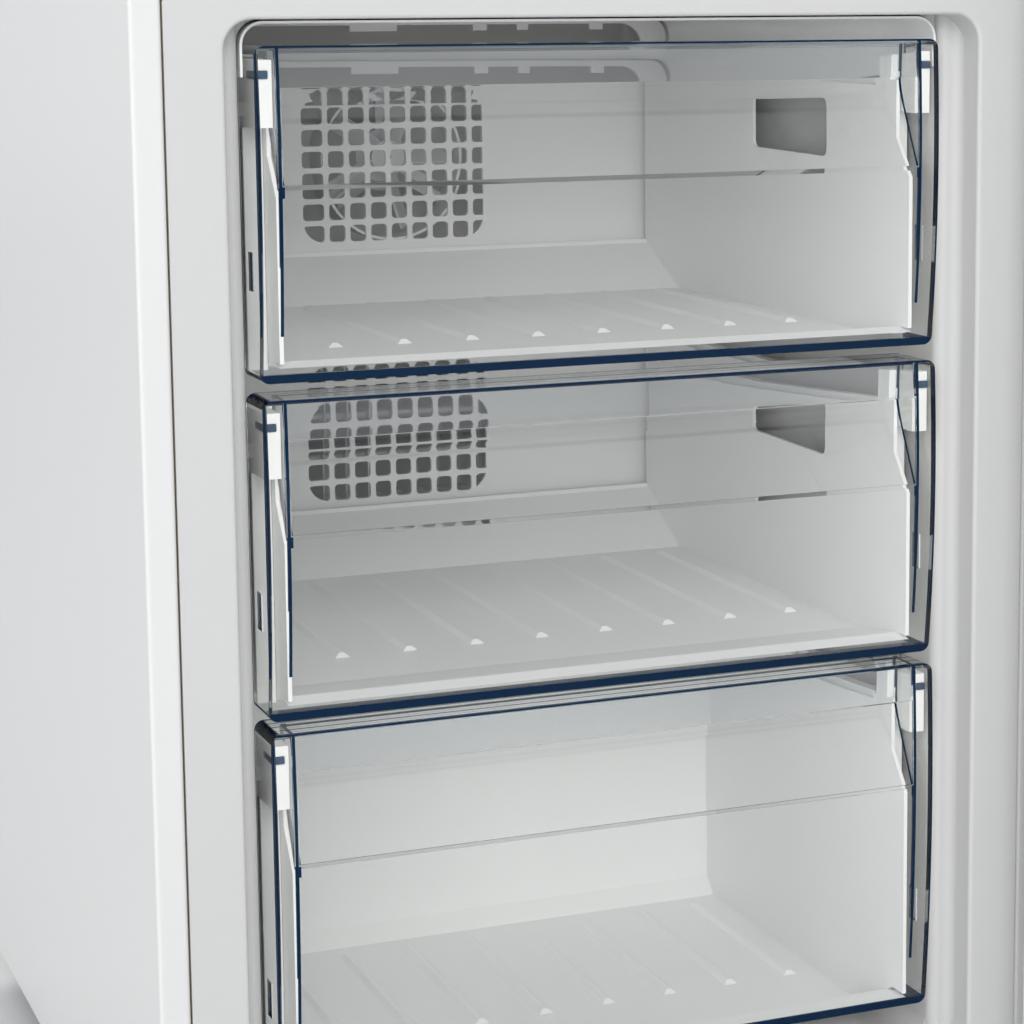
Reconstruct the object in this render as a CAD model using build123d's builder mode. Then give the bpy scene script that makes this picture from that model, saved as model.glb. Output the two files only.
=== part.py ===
from build123d import *
import os

os.makedirs("parts", exist_ok=True)

# A bottom freezer refrigerator, in millimetres.
# X runs across the cabinet, Y from the doors to the wall, Z up from the floor.
# The origin lies on the floor, under the middle of the cabinet.

# Cabinet
width = 595.0
height = 1860.0
depth = 590.0
steel = 0.8
front = -depth / 2
back = depth / 2
half = width / 2

# Folded steel strip round the front, and the seam between it and the liners
fold = 18.4
fold_return = 12.0
fold_radius = 2.5
seam = 0.8

# Liners
liner = 2.0
side_flange = 35.5
rim_flange = 12.6
entry_depth = 25.0
shoulder = 14.6
opening_radius = 17.0
cavity_radius = 14.0
entry_half = half - fold - side_flange
cavity_half = entry_half - shoulder
flange_half = half - fold - seam

# Heights of the two compartments
freezer_low = 57.0
freezer_high = 767.0
mullion = 50.0
fridge_low = freezer_high + mullion
fridge_high = height - fold
freezer_floor = freezer_low + rim_flange
freezer_ceiling = freezer_high - rim_flange
fridge_floor = fridge_low + rim_flange
fridge_ceiling = fridge_high - rim_flange

# Depths measured back from the plane that the doors seal on
freezer_depth = 529.0
low_freezer_depth = 354.0
fridge_depth = 500.0
step_height = 330.0
niche_height = 285.0
niche_depth = 190.0
back_radius = 14.0

# Base
panel_low = 26.0
base_plate = 1.6
foot_radius = 17.0
foot_pad = 9.0
stud_radius = 5.0
running = 0.1
boss_radius = 9.5
boss_gap = 3.0
foot_inset_x = 45.0
foot_inset_y = 40.0
roller_radius = 12.5
roller_width = 14.0
axle_radius = 3.0
roller_inset_x = 48.0
roller_inset_y = 34.0

# Freezer drawers: fronts of clear plastic, baskets of white plastic
drawer_names = ("top", "middle", "bottom")
front_heights = (196.0, 193.5, 234.0)
front_gaps = (15.2, 9.5, 7.0)
floor_lifts = (3.0, 3.0, -19.0)
front_ramps = (8.0, 8.0, 26.0)
basket_depths = (455.0, 455.0, 342.0)
drawer_half = 222.5
clear_wall = 3.0
wing_wall = 2.5
face_depth = 16.0
face_bulge = 2.5
face_tuck = 5.0
rim_depth = 40.0
corner_radius = 6.0
lip_height = 24.0
lip_taper = 4.3
recess_half = 208.0
recess_depth = 23.0
recess_top = 31.0
recess_low = 80.0
wing_slot_height = 23.0
wing_slot_depth = 9.0
wing_slot_lift = 65.0
basket_half = 207.0
basket_wall = 2.5
basket_drop = 26.5
basket_rim = 6.5
back_slope = 63.0
back_rise = 30.0
low_back_slope = 12.0
rim_reach = 12.0
rib_pitch = 46.2
rib_count = 9
rib_width = 10.0
rib_height = 2.6
rib_start = 150.0
window_start = 142.0
window_length = 117.0
window_drop = 43.0
window_height = 40.0
ledge_reach = 15.0
ledge_height = 8.0
ledge_start = 68.0
slide_gap = 0.3

# Cold air parts behind the freezer drawers
cover_depth = 464.0
cover_wall = 3.0
grille_columns = 9
grille_rows = 7
grille_pitch = 16.4
grille_hole = 12.5
grille_shift = 4.0
grille_radius = 16.0
grille_drop = 57.9
slot_half = 208.0
slot_height = 36.0
slot_drop = 6.5
grille_step = 205.0
grille_x = 2.0
cover_half = 228.6
tooth_height = 4.5
slot_teeth = ((-30.0, 7.0), (68.0, 79.0), (104.0, 113.0), (164.0, 175.0))
ceiling_drop = 1.0
ceiling_sheet = 1.5
ceiling_half = 227.7
ceiling_side = 32.0
ceiling_start = 28.0
ceiling_end = 452.0
fan_radius = 50.0
fan_gap = 4.0
ring_wall = 2.0
ring_length = 32.0
arm_depth = 4.0
arm_width = 8.0
motor_radius = 20.0
motor_depth = 24.0
shaft_radius = 2.5
shaft_length = 16.0
hub_radius = 13.0
blade_count = 5
blade_depth = 16.0
blade_wall = 2.0
blade_width = 20.0
blade_tilt = 35.0
coil_half = 180.0
coil_low = 356.0
coil_rows = 5
coil_pitch = 36.0
coil_radius = 4.0
fin_count = 21
fin_wall = 1.0
fin_depth = 40.0
heater_height = 343.0
heater_radius = 4.0

# Fridge shelves and crisper
glass = 4.0
shelf_front = 102.0
shelf_depth = 372.0
shelf_heights = (1222.0, 1398.0, 1574.0)
crisper_shelf_height = 1046.0
trim_height = 20.0
trim_depth = 14.0
shelf_ledge = 9.0
crisper_height = 196.0
crisper_half = 208.0
crisper_wall = 2.6
crisper_length = 366.0
crisper_lip = 12.0
shelf_play = 2.0
trim_lip = 4.0
duct_half = 62.0
duct_depth = 12.0
duct_low = 1075.0
duct_high = 1800.0
vent_rows = 7
vent_pitch = 45.0
control_start = 112.0
control_half = 110.0
control_depth = 80.0
control_height = 34.0
knob_x = 60.0
knob_radius = 15.0
knob_depth = 12.0
knob_shaft = 3.0
lamp_x = 50.0
lamp_half = 40.0
lamp_height = 14.0

# Cooling machine
mount_x = 62.0
mount_y = 46.0
mount_bolt = 4.0
mount_rubber = 11.0
mount_height = 19.0
foot_sheet = 3.0
compressor_x = 40.0
shell_radius = 62.0
shell_height = 150.0
shell_round = 30.0
tray_half_x = 78.0
tray_half_y = 58.0
tray_height = 26.0
tray_wall = 1.8
condenser_gap = 12.0
condenser_half = 240.0
condenser_side = 24.0
condenser_low = 350.0
condenser_leg = 40.0
condenser_runs = 13
condenser_pitch = 88.0
condenser_bend = 12.0
condenser_tube = 2.4
condenser_wires = 6
condenser_wire_pitch = 36.0
condenser_wire = 1.6
drier_x = -120.0
drier_radius = 9.0
drier_length = 90.0
suction_radius = 4.0

# Doors
door_gap = 8.0
door_plate = 2.0
gasket_gap = 9.0
door_depth = 54.0
door_skin = 0.8
door_corner = 4.0
gasket_drop = 13.0
ridge_inset = 60.0
freezer_ridge = 16.0
handle_inset = 32.0
balcony_names = ("bottle_balcony", "middle_balcony", "upper_balcony")
balcony_lows = (880.0, 1230.0, 1560.0)
balcony_heights = (110.0, 84.0, 84.0)
hinge_sheet = 3.0
leaf_reach = 52.0
screw_edge = 5.0
middle_leaf_low = 780.0
middle_leaf_high = 804.0
bottom_leaf_high = 52.0
top_plate_left = 222.0
top_plate_depth = 60.0
top_screws = ((240.0, -260.0), (278.0, -260.0), (278.0, -282.0))
screw_radius = 2.0
screw_head = 2.4
cap_rise = 16.0
cap_height = 24.0
freezer_door_low = 46.0
door_split = 788.0
fridge_door_high = height - 3.0
axis_x = 288.0
axis_reach = 25.0
pin_radius = 4.0
pin_length = 17.0
hinge_plate = 4.0
gasket_width = 20.0
gasket_inset = 10.0
dyke_half = 212.0
dyke_width = 16.0
dyke_depth = 42.0
balcony_depth = 96.0
balcony_wall = 2.6
handle_reach = 38.0
handle_length = 420.0
open_angle = 125.0

axis_y = front - axis_reach
door_inner = front - gasket_gap
door_outer = door_inner - door_depth


def block(x, y, z, mode=Mode.ADD):
    """A box between two values on each axis."""
    with Locations(((x[0] + x[1]) / 2, (y[0] + y[1]) / 2, (z[0] + z[1]) / 2)):
        Box(x[1] - x[0], y[1] - y[0], z[1] - z[0], mode=mode)


def both_sides(inner, outer, y, z, mode=Mode.ADD):
    """The same box at the left and at the right."""
    block((inner, outer), y, z, mode)
    block((-outer, -inner), y, z, mode)


def facing(y):
    """A plane seen from the front: sketch X is X, sketch Y is Z."""
    return Plane.XZ.offset(-y)


def seen_from_side(x):
    """A plane seen from the right: sketch X is Y, sketch Y is Z."""
    return Plane.YZ.offset(x)


def rod(start, end, radius, mode=Mode.ADD):
    """A round bar between two points."""
    a = Vector(*start)
    b = Vector(*end)
    with BuildSketch(Plane(origin=a, z_dir=b - a)) as ring:
        Circle(radius)
    extrude(ring.sketch, amount=(b - a).length, mode=mode)


def save(part, name):
    part.label = name
    export_step(part, "parts/" + name + ".step")


# Steel sheets of the cabinet

with BuildPart() as right_side:
    with BuildSketch(Plane.XY.offset(panel_low)):
        with BuildLine():
            FilletPolyline(
                (half, back),
                (half, front),
                (half - fold, front),
                (half - fold, front + fold_return),
                radius=fold_radius,
            )
            offset(amount=steel, side=Side.RIGHT)
        make_face()
    extrude(amount=height - steel - panel_low)
save(right_side.part, "right_side_panel")

with BuildPart() as left_side:
    mirror(right_side.part, about=Plane.YZ)
save(left_side.part, "left_side_panel")

bar_half = half - fold - steel / 4

with BuildPart() as top_panel:
    block((-half, half), (front, back), (height - steel, height))
    block((-bar_half, bar_half), (front, front + steel), (height - fold, height - steel))
    block(
        (-bar_half, bar_half),
        (front + steel, front + fold_return),
        (height - fold, height - fold + steel),
    )
    fillet(top_panel.edges().filter_by(Axis.X).group_by(Axis.Z)[-1].sort_by(Axis.Y)[0], steel / 2)
save(top_panel.part, "top_panel")

niche_front = back - niche_depth

with BuildPart() as back_panel:
    with BuildSketch(seen_from_side(-half + steel)):
        with BuildLine():
            Polyline(
                (back, height - steel),
                (back, niche_height),
                (niche_front, niche_height),
                (niche_front, panel_low + base_plate),
            )
            offset(amount=steel, side=Side.RIGHT)
        make_face()
    extrude(amount=width - 2 * steel)
save(back_panel.part, "back_panel")

with BuildPart() as mullion_bar:
    block((-bar_half, bar_half), (front, front + steel), (freezer_high + seam, fridge_low - seam))
    for edge in (freezer_high + seam, fridge_low - seam - steel):
        block((-bar_half, bar_half), (front + steel, front + fold_return), (edge, edge + steel))
save(mullion_bar.part, "mullion_bar")


# Base with the threaded sleeves of the feet and the brackets of the rollers

foot_x = half - foot_inset_x
foot_y = front + foot_inset_y
roller_x = half - roller_inset_x
roller_y = back - roller_inset_y
base_top = panel_low + base_plate
boss_low = foot_pad + boss_gap
boss_high = freezer_low - 6.0
ear = 2.0
ear_gap = 0.6
compressor_y = (niche_front + back) / 2 + 4.0

with BuildPart() as base_frame:
    base_half = half - steel
    block((-base_half, base_half), (front + fold_return + 1, back - 1), (panel_low, base_top))
    block((-bar_half, bar_half), (front, front + steel), (panel_low - 6, freezer_low - seam))
    block(
        (-bar_half, bar_half),
        (front + steel, front + fold_return + 1),
        (panel_low, panel_low + base_plate),
    )
    block(
        (-bar_half, bar_half),
        (front + steel, front + fold_return),
        (freezer_low - seam - steel, freezer_low - seam),
    )
    for side in (-1, 1):
        with BuildSketch(Plane.XY.offset(boss_low)):
            with Locations((side * foot_x, foot_y)):
                Circle(boss_radius)
        extrude(amount=boss_high - boss_low)
        with BuildSketch(Plane.XY.offset(boss_low)):
            with Locations((side * foot_x, foot_y)):
                Circle(stud_radius + running)
        extrude(amount=boss_high - boss_low - 3.0, mode=Mode.SUBTRACT)
        for wall in (-1, 1):
            ear_x = side * roller_x + wall * (roller_width / 2 + ear_gap + ear / 2)
            block(
                (ear_x - ear / 2, ear_x + ear / 2),
                (roller_y - 7, roller_y + 7),
                (roller_radius - 7, panel_low),
            )
        rod(
            (side * roller_x - roller_width / 2 - ear_gap - 2 * ear, roller_y, roller_radius),
            (side * roller_x + roller_width / 2 + ear_gap + 2 * ear, roller_y, roller_radius),
            axle_radius,
        )
    with BuildSketch(Plane.XY.offset(base_top)):
        with Locations((compressor_x, compressor_y)):
            with GridLocations(2 * mount_x, 2 * mount_y, 2, 2):
                Circle(mount_bolt)
    extrude(amount=22.0)
save(base_frame.part, "base_frame")

for side, name in ((-1, "left_foot"), (1, "right_foot")):
    with BuildPart() as foot:
        with BuildSketch(Plane.XY):
            with Locations((side * foot_x, foot_y)):
                Circle(foot_radius)
        extrude(amount=foot_pad)
        fillet(foot.edges().filter_by(GeomType.CIRCLE), 1.5)
        with BuildSketch(Plane.XY.offset(foot_pad)):
            with Locations((side * foot_x, foot_y)):
                RegularPolygon(radius=9.0, side_count=6)
        extrude(amount=boss_gap / 2)
        with BuildSketch(Plane.XY.offset(foot_pad)):
            with Locations((side * foot_x, foot_y)):
                Circle(stud_radius)
        extrude(amount=boss_high - 6.0 - foot_pad)
    save(foot.part, name)

for side, name in ((-1, "left_roller"), (1, "right_roller")):
    with BuildPart() as roller:
        with BuildSketch(seen_from_side(side * roller_x - roller_width / 2)):
            with Locations((roller_y, roller_radius)):
                Circle(roller_radius)
                Circle(axle_radius + running, mode=Mode.SUBTRACT)
        extrude(amount=roller_width)
        fillet(roller.edges().filter_by(GeomType.CIRCLE).sort_by(SortBy.RADIUS)[-2:], 1.5)
    save(roller.part, name)


# Liners


def cavity(grow, low, high, depths, step):
    """The hollow of a compartment, or with grow the outside of its liner."""
    deep = front + depths[1] + grow
    near = front + depths[0] + grow
    top = high + grow
    bottom = low - grow
    wide = entry_half + grow
    slim = cavity_half + grow
    turn = front + entry_depth + grow
    bend = shoulder / 2 - 0.4
    with BuildPart() as corners:
        with BuildSketch(facing(front - 1)):
            with Locations((0, (top + bottom) / 2)):
                RectangleRounded(2 * wide, top - bottom, opening_radius + grow)
        extrude(amount=-(turn + bend + 0.5 - front + 1))
        with BuildSketch(facing(turn + bend)):
            with Locations((0, (top + bottom) / 2)):
                RectangleRounded(2 * slim, top - bottom, cavity_radius + grow)
        extrude(amount=-(deep - turn - bend))
    with BuildPart() as hollow:
        with BuildSketch(Plane.XY.offset(bottom)):
            with BuildLine():
                FilletPolyline(
                    (-wide, front),
                    (-wide, turn),
                    (-slim, turn),
                    (-slim, deep),
                    (slim, deep),
                    (slim, turn),
                    (wide, turn),
                    (wide, front),
                    radius=[bend, bend, back_radius, back_radius, bend, bend],
                )
                Line((wide, front), (-wide, front))
            make_face()
        extrude(amount=top - bottom)
        add(corners.part, mode=Mode.INTERSECT)
        if step:
            block((-wide, wide), (near, deep), (bottom, step - grow), Mode.SUBTRACT)
    return hollow.part


freezer_hollow = cavity(0, freezer_floor, freezer_ceiling, (low_freezer_depth, freezer_depth), step_height)
freezer_outside = cavity(
    liner, freezer_floor, freezer_ceiling, (low_freezer_depth, freezer_depth), step_height
)
fridge_hollow = cavity(0, fridge_floor, fridge_ceiling, (fridge_depth, fridge_depth), None)
fridge_outside = cavity(liner, fridge_floor, fridge_ceiling, (fridge_depth, fridge_depth), None)

drawer_tops = []
level = freezer_ceiling
for tall, gap in zip(front_heights, front_gaps):
    drawer_tops.append(level - gap)
    level = level - gap - tall


def flange(low, high):
    """The flat edge of a liner, which shows beside the steel strip."""
    with BuildSketch(facing(front)) as plate:
        with Locations((0, (low + high) / 2)):
            RectangleRounded(2 * flange_half, high - low, 3.0)
    extrude(plate.sketch, amount=-liner)


with BuildPart() as freezer_liner:
    flange(freezer_low, freezer_high)
    add(freezer_outside)
    add(freezer_hollow, mode=Mode.SUBTRACT)
    mouth = freezer_liner.faces().filter_by(Axis.Y).sort_by(Axis.Y)[0].inner_wires()[0]
    fillet(mouth.edges(), 2.6)
    for top, far in zip(drawer_tops, basket_depths):
        ledge_top = top - basket_drop - basket_rim - slide_gap
        both_sides(
            cavity_half - ledge_reach,
            cavity_half + liner / 2,
            (front + ledge_start, front + far - 12),
            (ledge_top - ledge_height, ledge_top),
        )
save(freezer_liner.part, "freezer_liner")

with BuildPart() as fridge_liner:
    flange(fridge_low, fridge_high)
    add(fridge_outside)
    add(fridge_hollow, mode=Mode.SUBTRACT)
    mouth = fridge_liner.faces().filter_by(Axis.Y).sort_by(Axis.Y)[0].inner_wires()[0]
    fillet(mouth.edges(), 2.6)
    for level in shelf_heights + (crisper_shelf_height,):
        both_sides(
            cavity_half - shelf_ledge,
            cavity_half + liner / 2,
            (front + shelf_front + trim_depth + 6, front + fridge_depth - 20),
            (level - 8, level),
        )
save(fridge_liner.part, "fridge_liner")

with BuildPart() as foam:
    block(
        (-half + steel, half - steel),
        (front + fold_return + 1, back - steel),
        (base_top, height - steel),
    )
    block(
        (-half, half),
        (niche_front - steel, back),
        (panel_low, niche_height + steel),
        Mode.SUBTRACT,
    )
    add(freezer_outside, mode=Mode.SUBTRACT)
    add(fridge_outside, mode=Mode.SUBTRACT)
    for side in (-1, 1):
        with BuildSketch(Plane.XY.offset(base_top)):
            with Locations((side * foot_x, foot_y)):
                Circle(boss_radius)
        extrude(amount=boss_high - base_top, mode=Mode.SUBTRACT)
save(foam.part, "insulation_foam")


# Freezer drawers

recess_back = face_depth + recess_depth
spare = 1.0


def face_line(top, tall, shift):
    """The bowed front of a drawer seen from the side, moved back by shift and a little over-long."""
    start = (front + face_depth + shift, top + spare)
    middle = (front + face_depth - face_bulge + shift, top - 0.45 * tall)
    end = (front + face_depth + face_tuck + shift, top - tall - spare)
    return start, middle, end


def drawer_front(name, top, tall):
    """A clear front: bowed face, hanging lip, finger recess, top rim and two wings."""
    low = top - tall
    outer = face_line(top, tall, 0)
    inner = face_line(top, tall, clear_wall)
    rear = front + face_depth + rim_depth
    foot_line = front + face_depth - face_bulge + 0.7
    with BuildPart() as clear:
        with BuildSketch(seen_from_side(-drawer_half)):
            with BuildLine():
                ThreePointArc(*outer)
                Line(outer[2], inner[2])
                ThreePointArc(*inner)
                Line(inner[0], outer[0])
            make_face()
        extrude(amount=2 * drawer_half)
        block(
            (-recess_half, recess_half),
            (front, front + recess_back),
            (top - recess_low, top - lip_height),
            Mode.SUBTRACT,
        )
        with BuildSketch(seen_from_side(-recess_half - wing_wall)):
            with BuildLine():
                FilletPolyline(
                    (foot_line, top - recess_low - clear_wall),
                    (foot_line, top - recess_low),
                    (front + recess_back, top - recess_top),
                    (front + recess_back, top),
                    radius=[0.5, 26.0],
                )
                Line((front + recess_back, top), (front + recess_back + clear_wall, top))
                FilletPolyline(
                    (front + recess_back + clear_wall, top),
                    (front + recess_back + clear_wall, top - recess_top),
                    (foot_line + clear_wall, top - recess_low - clear_wall),
                    radius=23.0,
                )
                Line(
                    (foot_line + clear_wall, top - recess_low - clear_wall),
                    (foot_line, top - recess_low - clear_wall),
                )
            make_face()
        extrude(amount=2 * (recess_half + wing_wall))
        with BuildSketch(seen_from_side(-recess_half)):
            Polygon(
                (front + face_depth + 1, top - lip_height),
                (front + face_depth + clear_wall - 0.9, top - lip_height),
                (front + face_depth + clear_wall - 0.9 + lip_taper, top - 1),
                (front + face_depth + 1, top - 1),
                align=None,
            )
        extrude(amount=2 * recess_half)
        for side in (-1, 1):
            with BuildSketch(seen_from_side(side * (recess_half + wing_wall / 2) - wing_wall / 2)):
                Polygon(
                    (front + face_depth, top),
                    (front + face_depth - 1.5, top - recess_low),
                    (front + recess_back + 1, top - recess_top),
                    (front + recess_back + 1, top),
                    align=None,
                )
            extrude(amount=wing_wall)
            with BuildSketch(seen_from_side(side * (drawer_half - wing_wall / 2) - wing_wall / 2)):
                with BuildLine():
                    ThreePointArc(*outer)
                    Line(outer[2], (rear, low - spare))
                    Line((rear, low - spare), (rear, top + spare))
                    Line((rear, top + spare), outer[0])
                make_face()
            extrude(amount=wing_wall)
        block(
            (-drawer_half, drawer_half),
            (front + face_depth + spare, rear),
            (top - clear_wall, top + spare),
        )
        block(
            (-drawer_half, drawer_half),
            (front + face_depth + face_tuck + spare, front + face_depth + face_tuck + 16),
            (low - spare, low + clear_wall + 0.5),
        )
        with BuildSketch(facing(front)):
            with Locations((0, (top + low) / 2)):
                RectangleRounded(2 * drawer_half, tall, corner_radius)
        extrude(amount=-(rear - front + 1), mode=Mode.INTERSECT)
        slot_low = low + wing_slot_lift - wing_slot_height / 2
        slot_y = front + face_depth + rim_depth / 2 - wing_slot_depth / 2
        both_sides(
            drawer_half - wing_wall - 1,
            drawer_half + 1,
            (slot_y, slot_y + wing_slot_depth),
            (slot_low, slot_low + wing_slot_height),
            Mode.SUBTRACT,
        )
    save(clear.part, name)
    return clear


def drawer_basket(name, top, tall, lift, ramp, deep, open_back):
    """A white basket: ribbed floor, side windows, sliding rims and a low sloped back."""
    floor = top - tall + lift
    start = front + face_depth + face_tuck + clear_wall + 1
    step = front + recess_back + clear_wall + 1
    far = front + deep
    rim_top = top - basket_drop
    rim_low = rim_top - basket_rim
    slope = back_slope if open_back else low_back_slope
    rise = back_rise if open_back else low_back_slope

    def outline(wall, up):
        return (
            (start - wall, floor + ramp - wall),
            (start + 14, floor + ramp - wall),
            (start + 66, floor - wall),
            (far - slope, floor - wall),
            (far + wall, floor + rise - wall / 2),
            (far + wall, rim_top + up),
            (step - wall, rim_top + up),
            (step - wall, top - recess_low + 16),
            (start - wall, top - recess_low - 8),
        )

    with BuildPart() as basket:
        with BuildSketch(seen_from_side(-basket_half - basket_wall)):
            Polygon(*outline(0.0, 0.0), align=None)
            Polygon(
                (start, floor + ramp - basket_wall),
                (start + 14, floor + ramp - basket_wall),
                (start + 66, floor - basket_wall),
                (far - slope, floor - basket_wall),
                (far + basket_wall, floor + rise - basket_wall / 2),
                (far + basket_wall, rim_top),
                (far, rim_top),
                (start + 66, floor + 20),
                align=None,
            )
        extrude(amount=2 * (basket_half + basket_wall))
        both_sides(
            basket_half - 1,
            basket_half + rim_reach,
            (front + ledge_start, far),
            (rim_low, rim_top),
        )
        with BuildSketch(seen_from_side(-basket_half)):
            Polygon(*outline(0.0, 5.0), align=None)
        extrude(amount=2 * basket_half, mode=Mode.SUBTRACT)
        block(
            (-basket_half - 4, basket_half + 4),
            (front + ledge_start + 4, far),
            (rim_low + 2.5, rim_top + 5),
            Mode.SUBTRACT,
        )
        block(
            (-basket_half, basket_half),
            (start - 5, step + 30),
            (floor + ramp, rim_top + 5),
            Mode.SUBTRACT,
        )
        if open_back:
            block(
                (-basket_half, basket_half),
                (far - 1, far + basket_wall + 1),
                (floor + rise + 3, rim_top + 5),
                Mode.SUBTRACT,
            )
            for side in (-1, 1):
                with BuildSketch(seen_from_side(side * (basket_half + 2) - 3)):
                    with Locations(
                        (front + window_start + window_length / 2, top - window_drop - window_height / 2)
                    ):
                        RectangleRounded(window_length, window_height, 6)
                extrude(amount=6, mode=Mode.SUBTRACT)
        rib_end = far - slope - 14
        with BuildSketch(Plane.XY.offset(floor)):
            with Locations((0, (front + rib_start + rib_end) / 2)):
                with GridLocations(rib_pitch, 1, rib_count, 1):
                    Rectangle(rib_width, rib_end - front - rib_start)
        extrude(amount=rib_height, taper=52)
        both_sides(
            basket_half,
            drawer_half - wing_wall - 0.5,
            (front + 52, front + ledge_start - 0.5),
            (rim_low - 14, top - clear_wall - 5),
        )
        both_sides(
            recess_half + wing_wall + 0.6,
            drawer_half - wing_wall - 0.5,
            (front + 22, front + 52),
            (rim_low - 14, top - clear_wall - 5),
        )
        both_sides(
            recess_half + wing_wall + 3,
            drawer_half,
            (front + 20, front + 40),
            (top - clear_wall - 16, top - clear_wall - 11),
            Mode.SUBTRACT,
        )
    save(basket.part, name)
    return basket


for i, name in enumerate(drawer_names):
    drawer_front(name + "_drawer_front", drawer_tops[i], front_heights[i])
    drawer_basket(
        name + "_drawer_basket",
        drawer_tops[i],
        front_heights[i],
        floor_lifts[i],
        front_ramps[i],
        basket_depths[i],
        i < 2,
    )


# Cold air parts of the freezer

chamber_back = front + freezer_depth
cover_low = step_height
cover_high = freezer_ceiling - ceiling_drop - ceiling_sheet

with BuildPart() as ceiling_panel:
    panel_top = freezer_ceiling - ceiling_drop
    with BuildSketch(facing(front + ceiling_start)):
        with BuildLine():
            FilletPolyline(
                (-ceiling_half, panel_top - ceiling_side),
                (-ceiling_half, panel_top),
                (ceiling_half, panel_top),
                (ceiling_half, panel_top - ceiling_side),
                radius=cavity_radius,
            )
            offset(amount=ceiling_sheet, side=Side.RIGHT)
        make_face()
    extrude(amount=ceiling_start - ceiling_end)
    for y in (ceiling_start + 40, ceiling_end - 40):
        both_sides(170, 190, (front + y - 6, front + y + 6), (panel_top, freezer_ceiling))
save(ceiling_panel.part, "freezer_ceiling_panel")

slot_high = freezer_ceiling - slot_drop
grille_high = (freezer_ceiling - grille_drop, freezer_ceiling - grille_drop - grille_step)
grille_tall = (grille_rows - 1) * grille_pitch + grille_hole
grille_wide = (grille_columns - 1) * grille_pitch + grille_hole
first_hole = grille_hole + grille_shift

with BuildPart() as evaporator_cover:
    with BuildSketch(facing(front + cover_depth)):
        with Locations((0, (cover_low + cover_high) / 2)):
            panel = Rectangle(2 * cover_half, cover_high - cover_low)
        fillet(panel.vertices().group_by(Axis.Z)[-1], cavity_radius)
        with Locations((0, slot_high - slot_height / 2)):
            SlotOverall(2 * slot_half, slot_height, mode=Mode.SUBTRACT)
    extrude(amount=-cover_wall)
    for high in grille_high:
        with BuildSketch(facing(front + cover_depth)) as holes:
            with Locations((grille_x + grille_shift, high - grille_tall / 2)):
                with GridLocations(grille_pitch, grille_pitch, grille_columns, grille_rows):
                    RectangleRounded(grille_hole, grille_hole, grille_hole / 4)
            with Locations((grille_x - (grille_wide - first_hole) / 2, high - grille_tall / 2)):
                with GridLocations(grille_pitch, grille_pitch, 1, grille_rows):
                    RectangleRounded(first_hole, grille_hole, grille_hole / 4)
            with Locations((grille_x, high - grille_tall / 2)):
                RectangleRounded(grille_wide, grille_tall, grille_radius, mode=Mode.INTERSECT)
        extrude(holes.sketch, amount=-cover_wall, mode=Mode.SUBTRACT)
    for left, right in slot_teeth:
        block(
            (left, right),
            (front + cover_depth, front + cover_depth + cover_wall),
            (slot_high - tooth_height, slot_high + 1),
        )
save(evaporator_cover.part, "evaporator_cover")

ring_front = front + cover_depth + cover_wall
fan_z = grille_high[0] - grille_tall / 2
motor_front = ring_front + ring_length
ring_radius = fan_radius + fan_gap

with BuildPart() as fan_motor:
    with BuildSketch(facing(ring_front)):
        with Locations((grille_x, fan_z)):
            Circle(ring_radius + ring_wall)
            Circle(ring_radius, mode=Mode.SUBTRACT)
    extrude(amount=-ring_length)
    with BuildSketch(facing(motor_front - arm_depth)):
        with Locations((grille_x, fan_z)):
            with PolarLocations((ring_radius + motor_radius) / 2, 3, start_angle=90):
                Rectangle(ring_radius - motor_radius + 3, arm_width)
    extrude(amount=-arm_depth)
    with BuildSketch(facing(motor_front - arm_depth)):
        with Locations((grille_x, fan_z)):
            Circle(motor_radius)
    extrude(amount=-motor_depth)
    fillet(fan_motor.edges().group_by(Axis.Y)[-1], 3)
    rod(
        (grille_x, motor_front, fan_z),
        (grille_x, motor_front - arm_depth - shaft_length, fan_z),
        shaft_radius,
    )
save(fan_motor.part, "fan_motor")

hub_back = motor_front - arm_depth - 2.0
hub_front = hub_back - blade_depth

with BuildPart() as fan:
    with Locations(Location((grille_x, (hub_front + hub_back) / 2, fan_z), (90, 0, 0))):
        Cylinder(hub_radius, blade_depth)
        with PolarLocations((hub_radius + fan_radius) / 2 - 1, blade_count):
            Box(fan_radius - hub_radius, blade_wall, blade_width, rotation=(blade_tilt, 0, 0))
    with BuildSketch(facing(hub_front - 5)) as disc:
        with Locations((grille_x, fan_z)):
            Circle(fan_radius)
    extrude(disc.sketch, amount=-(blade_depth + 10), mode=Mode.INTERSECT)
    rod(
        (grille_x, hub_back + 1, fan_z),
        (grille_x, hub_back - shaft_length, fan_z),
        shaft_radius + running,
        Mode.SUBTRACT,
    )
save(fan.part, "evaporator_fan")


def pipe(points, bend, radius):
    """A bent tube through some points."""
    with BuildLine() as route:
        FilletPolyline(*points, radius=bend)
    start = Vector(*points[0])
    with BuildSketch(Plane(origin=start, z_dir=Vector(*points[1]) - start)) as ring:
        Circle(radius)
    sweep(ring.sketch, path=route.wires()[0])


coil_y = (ring_front + chamber_back) / 2

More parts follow.
